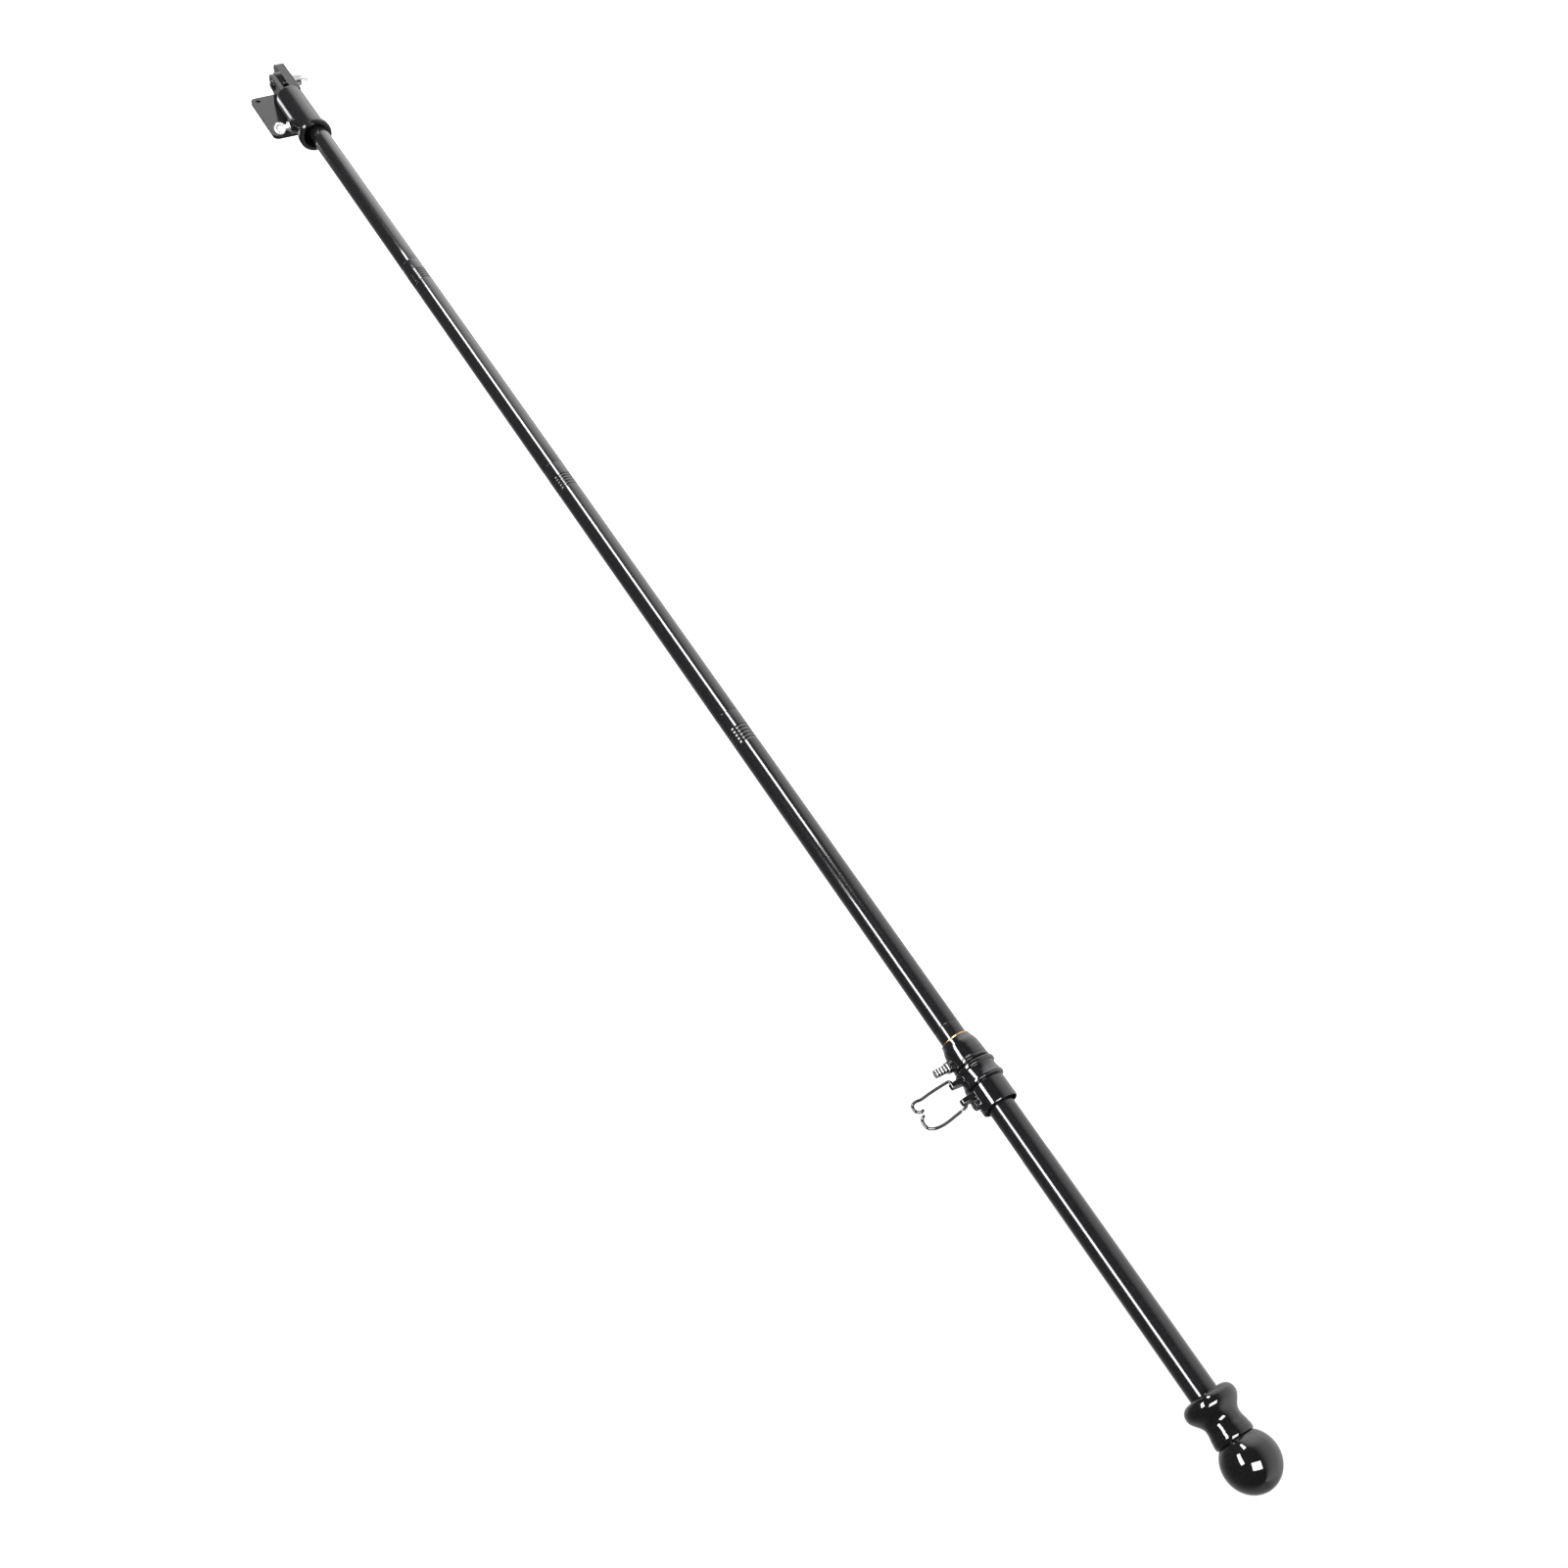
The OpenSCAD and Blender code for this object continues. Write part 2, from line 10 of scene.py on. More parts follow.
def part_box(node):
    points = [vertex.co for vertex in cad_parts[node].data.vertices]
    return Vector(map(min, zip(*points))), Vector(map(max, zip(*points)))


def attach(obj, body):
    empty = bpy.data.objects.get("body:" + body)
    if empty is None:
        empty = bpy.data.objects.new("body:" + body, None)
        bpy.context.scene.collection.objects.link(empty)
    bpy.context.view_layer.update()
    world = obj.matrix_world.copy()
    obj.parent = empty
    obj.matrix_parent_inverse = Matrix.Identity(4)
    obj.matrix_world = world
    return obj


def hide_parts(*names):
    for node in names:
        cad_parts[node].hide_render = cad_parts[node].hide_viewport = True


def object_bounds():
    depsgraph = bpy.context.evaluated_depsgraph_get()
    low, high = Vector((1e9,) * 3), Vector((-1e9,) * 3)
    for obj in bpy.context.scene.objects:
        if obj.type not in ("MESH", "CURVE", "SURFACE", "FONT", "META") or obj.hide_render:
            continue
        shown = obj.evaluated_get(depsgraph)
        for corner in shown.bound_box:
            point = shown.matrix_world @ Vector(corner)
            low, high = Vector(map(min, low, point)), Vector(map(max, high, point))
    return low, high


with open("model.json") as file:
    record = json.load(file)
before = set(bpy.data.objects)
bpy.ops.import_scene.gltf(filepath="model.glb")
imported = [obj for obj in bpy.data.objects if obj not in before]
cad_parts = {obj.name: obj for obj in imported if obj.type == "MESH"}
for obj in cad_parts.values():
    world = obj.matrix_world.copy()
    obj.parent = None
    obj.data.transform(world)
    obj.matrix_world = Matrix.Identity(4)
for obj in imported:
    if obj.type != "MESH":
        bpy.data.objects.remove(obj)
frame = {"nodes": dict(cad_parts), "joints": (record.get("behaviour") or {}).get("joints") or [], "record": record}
cad_low, cad_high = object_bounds()
MM = 0.001
nodes, record = frame["nodes"], frame["record"]
body_of = {n: b for b, members in record["behaviour"]["bodies"].items() for n in members}
slot_of = {s["node"]: s["material_slot"] for s in record["subparts"]}
joint = {j["name"]: Vector(j["pos_m"]) for j in frame["joints"]}

# ---------------------------------------------------------------- places and sizes, from the frame
SECTIONS = [f"pole_section_{i}" for i in range(1, 6)]
pole_low, pole_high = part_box("pole_section_5")
AXIS = (pole_low + pole_high) / 2
POLE_R = (pole_high.x - pole_low.x) / 2
SEAMS = [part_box(name)[0].z for name in SECTIONS] + [pole_high.z]
PIVOT = joint["bracket_tilt"]
RING = Vector((AXIS.x, AXIS.y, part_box("ring_liner")[0].z))
ALONG_X = Matrix.Rotation(math.pi / 2, 4, "Y")

# The rolled thread at each tube's foot: turns, pitch, height of the first turn, depth
GROOVES, GROOVE_PITCH, GROOVE_START, GROOVE_DEPTH = 5, 3.4 * MM, 13.6 * MM, 0.45 * MM


# ---------------------------------------------------------------- meshes
def mesh_object(name, vertices, faces, smooth_angle=40):
    """A new object from points and faces, smooth but for edges sharper than smooth_angle degrees."""
    mesh = bpy.data.meshes.new(name)
    mesh.from_pydata([tuple(v) for v in vertices], [], faces)
    mesh.validate()
    mesh.shade_smooth()
    mesh.set_sharp_from_angle(angle=math.radians(smooth_angle))
    piece = bpy.data.objects.new(name, mesh)
    bpy.context.scene.collection.objects.link(piece)
    return piece


def fillet(points, radius, steps=4):
    """An open outline of (r, z) points with each inner corner rounded by an arc-like curve."""
    out = [Vector(points[0])]
    for before, corner, after in zip(points, points[1:], points[2:]):
        a, c, b = Vector(before), Vector(corner), Vector(after)
        cut = min(radius, (a - c).length * 0.45, (b - c).length * 0.45)
        start, end = c + (a - c).normalized() * cut, c + (b - c).normalized() * cut
        for k in range(steps + 1):
            t = k / steps
            out.append(start * (1 - t) ** 2 + c * 2 * t * (1 - t) + end * t ** 2)
    return out + [Vector(points[-1])]


def lathe(name, profile, place, turn=Matrix(), sides=96, closed=True):
    """A piece turned from an (r, z) profile about the local Z axis. A closed profile makes a ring."""
    rows, vertices, faces = [], [], []
    for r, z in profile:
        if r < 1e-7:
            rows.append([len(vertices)])
            vertices.append((0, 0, z))
        else:
            rows.append(list(range(len(vertices), len(vertices) + sides)))
            turns = [2 * math.pi * k / sides for k in range(sides)]
            vertices += [(r * math.cos(a), r * math.sin(a), z) for a in turns]
    pairs = list(zip(rows, rows[1:])) + ([(rows[-1], rows[0])] if closed else [])
    for a, b in pairs:
        for k in range(sides):
            j = (k + 1) % sides
            quad = [a[k % len(a)], a[j % len(a)], b[j % len(b)], b[k % len(b)]]
            quad = [v for i, v in enumerate(quad) if v not in quad[:i]]
            if len(quad) > 2:
                faces.append(quad)
    matrix = Matrix.Translation(place) @ turn
    piece = mesh_object(name, [matrix @ Vector(v) for v in vertices], faces)
    face_outward(piece)
    return piece


def face_outward(piece):
    """Makes a closed mesh's faces point outward."""
    bm = bmesh.new()
    bm.from_mesh(piece.data)
    bmesh.ops.recalc_face_normals(bm, faces=bm.faces)
    bm.to_mesh(piece.data)
    bm.free()


def apply_modifiers(piece):
    """Swaps the mesh for what its modifiers make of it."""
    graph = bpy.context.evaluated_depsgraph_get()
    mesh = bpy.data.meshes.new_from_object(piece.evaluated_get(graph))
    piece.modifiers.clear()
    piece.data = mesh
    return piece


def joined(name, pieces):
    """One object whose closed shells are merged into one skin."""
    base = pieces[0]
    for other in pieces[1:]:
        step = base.modifiers.new("union", "BOOLEAN")
        step.operation, step.solver, step.object = "UNION", "EXACT", other
        apply_modifiers(base)
        bpy.data.objects.remove(other)
    base.name = base.data.name = name
    base.data.shade_smooth()
    base.data.set_sharp_from_angle(angle=math.radians(35))
    return base


def flat_kept(piece):
    """Applies the modifiers and shades smooth, with broad flat faces kept flat."""
    apply_modifiers(piece)
    piece.data.shade_smooth()
    even = piece.modifiers.new("even", "WEIGHTED_NORMAL")
    even.mode, even.weight = "FACE_AREA", 90
    return apply_modifiers(piece)


def edge_rounded(name, node, width, angle=28):
    """A copy of a CAD node with its sharp edges and inner corners rounded."""
    piece = bpy.data.objects.new(name, nodes[node].data.copy())
    bpy.context.scene.collection.objects.link(piece)
    piece.modifiers.new("weld", "WELD").merge_threshold = 1e-5
    flatten = piece.modifiers.new("flatten", "DECIMATE")
    flatten.decimate_type, flatten.angle_limit = "DISSOLVE", math.radians(0.4)
    bevel = piece.modifiers.new("edges", "BEVEL")
    bevel.width, bevel.segments, bevel.limit_method = width, 4, "ANGLE"
    bevel.angle_limit = math.radians(angle)
    return flat_kept(piece)


def in_mm(points):
    """Points or outline given in millimetres, as metres."""
    return [tuple(c * MM for c in p) for p in points]


def turned(name, profile, place, turn=Matrix(), round_by=0.25, closed=True, sides=96):
    """A lathe piece whose (r, z) outline is in millimetres and has rounded corners."""
    return lathe(name, fillet(in_mm(profile), round_by * MM), place, turn, sides, closed)


def prism(name, outline, low, high, place, round_by):
    """A flat plate from an (x, y) outline in millimetres, between two heights, with rounded edges."""
    count = len(outline)
    vertices = [place + Vector((x, y, z)) * MM for z in (low, high) for x, y in outline]
    faces = [list(range(count)), list(range(count, 2 * count))]
    faces += [[k, (k + 1) % count, count + (k + 1) % count, count + k] for k in range(count)]
    piece = mesh_object(name, vertices, faces)
    face_outward(piece)
    bevel = piece.modifiers.new("edges", "BEVEL")
    bevel.width, bevel.segments, bevel.limit_method = round_by * MM, 3, "ANGLE"
    bevel.angle_limit = math.radians(40)
    return flat_kept(piece)


def threaded(name, radius, start, end, pitch, depth, place, turn, sides=48):
    """A rod along the local Z axis, in millimetres, with a screw thread and chamfered ends."""
    rows_a_turn, chamfer, crest = 8, 0.6, 1.4
    steps = int((end - start) / pitch * rows_a_turn)
    vertices, faces = [], []
    for i in range(steps + 1):
        h = start + (end - start) * i / steps
        cut = max(0, chamfer - min(h - start, end - h))
        for k in range(sides):
            phase = h / pitch - k / sides
            ridge = abs((phase % 1) * 2 - 1)
            r = radius - max(cut, depth * min(1, ridge * crest))
            a = 2 * math.pi * k / sides
            vertices.append(place + turn.to_3x3() @ Vector((r * math.cos(a), r * math.sin(a), h)) * MM)
    for i in range(steps):
        for k in range(sides):
            j = (k + 1) % sides
            faces.append([i * sides + k, i * sides + j, (i + 1) * sides + j, (i + 1) * sides + k])
    faces += [list(range(sides)), list(range(steps * sides, (steps + 1) * sides))]
    piece = mesh_object(name, vertices, faces, 60)
    face_outward(piece)
    return piece


def curve_points(points, steps=14):
    """A smooth curve through points (Catmull-Rom)."""
    p = [Vector(q) for q in points]
    out = []
    for i in range(len(p) - 1):
        a, b, c, d = p[max(i - 1, 0)], p[i], p[i + 1], p[min(i + 2, len(p) - 1)]
        for k in range(steps):
            t = k / steps
            out.append((2 * b + (c - a) * t + (2 * a - 5 * b + 4 * c - d) * t ** 2
                        + (3 * b - a - 3 * c + d) * t ** 3) / 2)
    return out + [p[-1]]


def wire(name, points, radius, place, sides=20):
    """A round wire along points in the XZ plane, with domed ends."""
    path = curve_points(points)
    first, last = (path[1] - path[0]).normalized(), (path[-1] - path[-2]).normalized()
    rings = []
    dome = [(math.sin(a), math.cos(a)) for a in (math.pi / 2 * k / 5 for k in range(1, 5))]
    for side, rise in dome:
        rings.append((path[0] - first * radius * rise, first, radius * side))
    for i, q in enumerate(path):
        along = (path[min(i + 1, len(path) - 1)] - path[max(i - 1, 0)]).normalized()
        rings.append((q, along, radius))
    for side, rise in reversed(dome):
        rings.append((path[-1] + last * radius * rise, last, radius * side))
    vertices, faces = [], []
    for q, along, r in rings:
        across = Vector((along.z, 0, -along.x))
        for k in range(sides):
            a = 2 * math.pi * k / sides
            vertices.append(place + q + r * (math.cos(a) * across + math.sin(a) * Vector((0, 1, 0))))
    for i in range(len(rings) - 1):
        for k in range(sides):
            j = (k + 1) % sides
            faces.append([i * sides + k, i * sides + j, (i + 1) * sides + j, (i + 1) * sides + k])
    faces += [list(range(sides)), list(range((len(rings) - 1) * sides, len(rings) * sides))]
    piece = mesh_object(name, vertices, faces, 60)
    face_outward(piece)
    return piece


def stand_in(piece, node, *more):
    """The piece takes a CAD node's body and finish, and the node and any more given are hidden."""
    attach(piece, body_of[node])
    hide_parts(node, *more)
    piece.data.materials.clear()
    piece.data.materials.append(FINISH[slot_of[node]])
    return piece


# ---------------------------------------------------------------- materials
def shader(name, color, metallic=0.0, roughness=0.3, coat=0.0):
    """A principled material, with its node tree, shader node and object coordinates."""
    material = bpy.data.materials.new(name)
    material.use_nodes = True
    tree = material.node_tree
    surface = tree.nodes["Principled BSDF"]
    surface.inputs["Base Color"].default_value = (*color, 1)
    surface.inputs["Metallic"].default_value = metallic
    surface.inputs["Roughness"].default_value = roughness
    surface.inputs["Coat Weight"].default_value = coat
    surface.inputs["Coat Roughness"].default_value = 0.05
    place = tree.nodes.new("ShaderNodeTexCoord").outputs["Object"]
    return material, tree, surface, place


def noise_of(tree, place, scale, detail=3.0, stretch=(1, 1, 1)):
    """A noise value from 0 to 1, with about scale lumps a metre."""
    mapping = tree.nodes.new("ShaderNodeMapping")
    mapping.inputs["Scale"].default_value = stretch
    tree.links.new(place, mapping.inputs["Vector"])
    noise = tree.nodes.new("ShaderNodeTexNoise")
    noise.inputs["Scale"].default_value = scale
    noise.inputs["Detail"].default_value = detail
    tree.links.new(mapping.outputs["Vector"], noise.inputs["Vector"])
    return noise.outputs["Fac"]


def set_range(node, from_low, from_high, low, high):
    """Sets what a map range node takes in and gives out."""
    for end, number in (("From Min", from_low), ("From Max", from_high), ("To Min", low), ("To Max", high)):
        node.inputs[end].default_value = number


def spread(tree, value, low, high, from_low=0.3, from_high=0.7):
    """The value remapped to run from low to high."""
    remap = tree.nodes.new("ShaderNodeMapRange")
    set_range(remap, from_low, from_high, low, high)
    tree.links.new(value, remap.inputs["Value"])
    return remap.outputs["Result"]


def tint(tree, value, dark, light):
    """A colour that runs from dark to light with the value."""
    mix = tree.nodes.new("ShaderNodeMix")
    mix.data_type = "RGBA"
    mix.inputs["A"].default_value = (*dark, 1)
    mix.inputs["B"].default_value = (*light, 1)
    tree.links.new(value, mix.inputs["Factor"])
    return mix.outputs["Result"]


def bump(tree, surface, value, height):
    """Raises the surface by up to height metres with the value."""
    node = tree.nodes.new("ShaderNodeBump")
    node.inputs["Strength"].default_value = 1.0
    node.inputs["Distance"].default_value = height
    tree.links.new(value, node.inputs["Height"])
    tree.links.new(node.outputs["Normal"], surface.inputs["Normal"])


def gloss_black(name, shade, roughness, peel_scale, peel_height, coat=0.0):
    """Black enamel or plastic: orange peel, faint wear in the gloss and a little dust in the colour."""
    material, tree, surface, place = shader(name, shade, roughness=roughness, coat=coat)
    dust = spread(tree, noise_of(tree, place, 900, 6), 0, 1, 0.52, 0.8)
    surface_color = tint(tree, dust, shade, [c * 2.2 + 0.002 for c in shade])
    tree.links.new(surface_color, surface.inputs["Base Color"])
    wear = noise_of(tree, place, 140, 8, (1, 1, 0.25))
    tree.links.new(spread(tree, wear, roughness * 0.95, roughness * 1.15), surface.inputs["Roughness"])
    bump(tree, surface, noise_of(tree, place, peel_scale, 2), peel_height)
    return material


def plated(name, color, roughness, grain_scale, grain_height, edge=1.0):
    """Bright metal with fine grain and patches of duller shine. An edge below 1 darkens its grazing shine."""
    material, tree, surface, place = shader(name, color, metallic=1.0, roughness=roughness)
    surface.inputs["Specular Tint"].default_value = (edge, edge, edge, 1)
    patches = noise_of(tree, place, 260, 5)
    tree.links.new(tint(tree, spread(tree, patches, 0, 1), [c * 0.86 for c in color], color),
                   surface.inputs["Base Color"])
    grain = noise_of(tree, place, grain_scale, 4)
    tree.links.new(spread(tree, grain, roughness * 0.7, roughness * 1.5), surface.inputs["Roughness"])
    bump(tree, surface, grain, grain_height)
    return material


def painted_groove_shade(material, at, low, high, end, shade):
    """Darkens a metal close to the X line through at, up to x = end: painted shade in the foot of its grooves."""
    tree = material.node_tree
    surface = tree.nodes["Principled BSDF"]
    offset = tree.nodes.new("ShaderNodeVectorMath")
    offset.operation, offset.inputs[1].default_value = "SUBTRACT", at
    tree.links.new(tree.nodes["Texture Coordinate"].outputs["Object"], offset.inputs[0])
    across = tree.nodes.new("ShaderNodeVectorMath")
    across.operation, across.inputs[1].default_value = "MULTIPLY", (0, 1, 1)
    tree.links.new(offset.outputs["Vector"], across.inputs[0])
    reach = tree.nodes.new("ShaderNodeVectorMath")
    reach.operation = "LENGTH"
    tree.links.new(across.outputs["Vector"], reach.inputs[0])
    parts = tree.nodes.new("ShaderNodeSeparateXYZ")
    tree.links.new(tree.nodes["Texture Coordinate"].outputs["Object"], parts.inputs[0])
    unshaded_part = tree.nodes.new("ShaderNodeMath")
    unshaded_part.operation = "MAXIMUM"
    tree.links.new(spread(tree, reach.outputs["Value"], 0, 1, low, high), unshaded_part.inputs[0])
    tree.links.new(spread(tree, parts.outputs["X"], 0, 1, end - 0.1 * MM, end), unshaded_part.inputs[1])
    # Mixes towards the shade colour where the mask is low: painted shade.
    mix = tree.nodes.new("ShaderNodeMix")
    mix.data_type = "RGBA"
    mix.inputs["A"].default_value = (*shade, 1)
    tree.links.new(unshaded_part.outputs[0], mix.inputs["Factor"])
    tree.links.new(surface.inputs["Base Color"].links[0].from_socket, mix.inputs["B"])
    tree.links.new(mix.outputs["Result"], surface.inputs["Base Color"])
    return material


ZINC = (0.74, 0.74, 0.75)
MICRON = 0.000001
FINISH = {
    "bracket_black": gloss_black("bracket_enamel", (0.005, 0.005, 0.0055), 0.14, 300, 8 * MICRON),
    "pole_black": gloss_black("pole_enamel", (0.0045, 0.0045, 0.005), 0.13, 1800, 0.2 * MICRON, coat=0.35),
    "ring_black": gloss_black("ring_enamel", (0.0035, 0.0035, 0.004), 0.09, 400, 1 * MICRON, coat=0.6),
    "finial_black": gloss_black("finial_plastic", (0.003, 0.003, 0.0033), 0.05, 200, 1 * MICRON, coat=0.3),
    "bright_steel": plated("zinc_plating", ZINC, 0.30, 1600, 0.4 * MICRON, edge=0.4),
    "clip_chrome": plated("chrome_wire", (0.12, 0.12, 0.125), 0.08, 2400, 1 * MICRON, edge=0.02),
    "dark_steel": gloss_black("blackened_steel", (0.014, 0.014, 0.016), 0.32, 1500, 10 * MICRON),
    "liner_brass": plated("liner_brass", (0.66, 0.42, 0.19), 0.26, 1800, 6 * MICRON),
}


# ---------------------------------------------------------------- the pole
def groove_depth(height, angle):
    """Depth of the rolled thread at a height above the seam, turned round the tube as a screw thread."""
    run = height - GROOVE_START + GROOVE_PITCH / 2 - GROOVE_PITCH * angle / (2 * math.pi)
    turns = GROOVES * GROOVE_PITCH
    if run <= 0 or run >= turns:
        return 0.0
    fade = min(1.0, min(run, turns - run) / (0.5 * GROOVE_PITCH))
    return GROOVE_DEPTH * fade * (0.5 - 0.5 * math.cos(2 * math.pi * run / GROOVE_PITCH)) ** 1.3


def pole_section(index):
    """One length of tube with softened ends and the rolled thread at its foot."""
    low, high = SEAMS[index], SEAMS[index + 1]
    sides, lip, wall, softened = 96, 0.3 * MM, 0.9 * MM, 0.7
    heights = [0, 0.08 * MM, 0.2 * MM, lip]
    thread_from = GROOVE_START - 1.2 * GROOVE_PITCH
    thread_to = GROOVE_START + (GROOVES + 1.2) * GROOVE_PITCH
    thread_rows = 110
    heights += [thread_from + (thread_to - thread_from) * k / thread_rows for k in range(thread_rows + 1)]
    length = high - low
    heights += [thread_to + (length - thread_to) * k / 12 for k in range(1, 12)]
    heights += [length - lip, length - 0.2 * MM, length - 0.08 * MM, length]
    vertices, faces = [], []
    for h in heights:
        edge = min(h, length - h)
        drop = 0 if edge >= lip else lip - math.sqrt(max(lip ** 2 - (lip - edge) ** 2, 0))
        for k in range(sides):
            a = 2 * math.pi * k / sides
            r = POLE_R - drop * softened - groove_depth(h, a)
            vertices.append((AXIS.x + r * math.cos(a), AXIS.y + r * math.sin(a), low + h))
    inner = POLE_R - wall - GROOVE_DEPTH
    for h in (length, 0):
        for k in range(sides):
            a = 2 * math.pi * k / sides
            vertices.append((AXIS.x + inner * math.cos(a), AXIS.y + inner * math.sin(a), low + h))
    count = len(vertices) // sides
    for i in range(count):
        for k in range(sides):
            j, n = (k + 1) % sides, (i + 1) % count
            faces.append([i * sides + k, i * sides + j, n * sides + j, n * sides + k])
    piece = mesh_object(f"tube_{index + 1}", vertices, faces)
    face_outward(piece)
    return stand_in(piece, SECTIONS[index])


for number in range(len(SECTIONS)):
    pole_section(number)


# ---------------------------------------------------------------- the finial
def finial():
    """Moulded base and ball, turned."""
    low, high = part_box("finial_base")
    foot, top = low.z, high.z
    flange, waist, lip = (high.x - low.x) / 2, POLE_R + 2.6 * MM, POLE_R + 4 * MM
    length, edge = top - foot, 5.8 * MM
    fall_from, fall_to, rise_to = 6.5 * MM, length - 12.2 * MM, length - 4.5 * MM

    def eased(t):
        return (1 - math.cos(math.pi * t)) / 2

    curve = [(flange - edge + edge * math.sin(a), edge - edge * math.cos(a))
             for a in (math.pi / 2 * k / 14 for k in range(15))]
    curve += [(flange + (waist - flange) * eased(t), fall_from + (fall_to - fall_from) * t)
              for t in (k / 18 for k in range(19))]
    rise_from = fall_to + 1 * MM
    bulge = 0.35 * MM
    curve += [(waist + (lip - bulge - waist) * eased(t), rise_from + (rise_to - rise_from) * t)
              for t in (k / 8 for k in range(1, 9))]
    curve += [(lip - bulge * (2 * t - 1) ** 2, rise_to + (length - 0.4 * MM - rise_to) * t)
              for t in (k / 8 for k in range(1, 9))]
    bore = POLE_R + 0.05 * MM
    grip = pole_high.z - foot
    sharp = [curve[-1], (lip - bulge - 0.4 * MM, length), (4 * MM, length), (4 * MM, grip),
             (bore, grip), (bore, 0), (flange - edge, 0)]
    smooth = [Vector(p) for p in curve[:-1]] + fillet(sharp, 0.3 * MM)[:-1]
    base = lathe("finial_cap", smooth, (AXIS.x, AXIS.y, foot), sides=128)
    stand_in(base, "finial_base")
    ball_low, ball_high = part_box("finial_ball")
    radius = (ball_high.x - ball_low.x) / 2
    middle = ball_high.z - radius
    start = math.acos((middle - top) / radius)
    arc = [(0, ball_low.z - middle), (3.9 * MM, ball_low.z - middle), (3.9 * MM, top - middle)]
    arc += [(radius * math.sin(a), -radius * math.cos(a))
            for a in (start + (math.pi - start) * k / 60 for k in range(61))]
    arc[-1] = (0, radius)
    stand_in(lathe("finial_globe", arc, (AXIS.x, AXIS.y, middle), sides=128, closed=False), "finial_ball")


finial()

# ---------------------------------------------------------------- the flag ring
# Radii in mm: the liner's bore and outside, and the outsides of the sleeve, swivel and collar
LINER_IN = 9.575
LINER = LINER_IN + 1
SLEEVE, SWIVEL, COLLAR = LINER + 3.2, LINER + 4.6, LINER + 2.8
# Heights in mm above the liner's foot
SLEEVE_END = 21.6
SWIVEL_START = SLEEVE_END + 0.5
COLLAR_START = SWIVEL_START + 14.9
COLLAR_END = COLLAR_START + 18.2
LINER_END = COLLAR_END - 4
LUG_1, LUG_2, LUG_HALF = SWIVEL_START + 6, COLLAR_START + 4.3, 2.0
SCREW_UP, BOSS_UP = SLEEVE_END - 6.4, COLLAR_END - 8.6
# Distance in mm from the pole's axis to the clip's hinge line
HINGE = (joint["clip_swing"].x - AXIS.x) / MM


def lug(name, z, root, tip):
    """A tongue that reaches from the ring out to the clip's hinge line."""
    x0, turn_steps = 11.9, 10
    outline = [(x0, -root), (x0 + 2.5, -root)]
    outline += [(HINGE + tip * math.sin(a), -tip * math.cos(a))
                for a in (math.pi * k / turn_steps for k in range(turn_steps + 1))]
    outline += [(x0 + 2.5, root), (x0, root)]
    return prism(name, outline, z - LUG_HALF, z + LUG_HALF, RING, 0.45)


def ring_sleeve():
    """Clamped lower sleeve: a long taper, a bead, the boss of its screw, and the ribbed screw."""
    r, inner, top = SLEEVE, LINER + 0.05, SLEEVE_END
    body = turned("clamp_sleeve", [
        (inner, 8), (inner, 1), (LINER + 0.3, 1), (r - 2.7, 2), (r - 2, 4), (r - 1.2, 6), (r - 0.8, 8),
        (r - 0.4, 13), (r - 0.3, top - 3.5), (r - 0.8, top - 3.1), (r - 0.8, top - 2.7),
        (r - 0.1, top - 2.4), (r, top - 1), (r - 0.6, top - 0.5), (r - 1.3, top), (inner, top), (inner, 8)],
        RING)
    at_screw = RING + Vector((0, 0, SCREW_UP * MM))
    boss = turned("boss", [(0, 11.5), (4.6, 11.5), (4.2, 14.4), (4.2, 16.1), (0, 16.1)], at_screw,
                  ALONG_X, 0.4, closed=False, sides=64)
    stand_in(joined("clamp_sleeve", [body, boss]), "ring_sleeve")
    ribs, pitch, rib, core, out = 5, 2.3, 3.1, 2.45, 16.575
    outline = [(0, 9.6), (3, 9.6), (3, 16), (2.6, 16.2)]
    for i in range(ribs):
        x, reach = out + i * pitch, rib + (1.0 if i == 0 else 0)
        outline += [(core, x), (reach, x + 0.1), (reach, x + 1.15), (core, x + 1.3)]
    outline = outline[:-1] + [(0, outline[-1][1])]
    screw = turned("ribbed_screw", outline, at_screw, ALONG_X, 0.3, closed=False, sides=64)
    stand_in(screw, "sleeve_thumbscrew")
    # The feet of the grooves between the ribs get painted shade, near black.
    steel = plated("ribbed_steel_groove_shade", ZINC, 0.24, 1600, 0.4 * MICRON, edge=0.4)
    end = at_screw.x + outline[-2][1] * MM
    screw.data.materials[0] = painted_groove_shade(steel, at_screw, core * MM, (rib - 0.15) * MM, end, (0.03,) * 3)


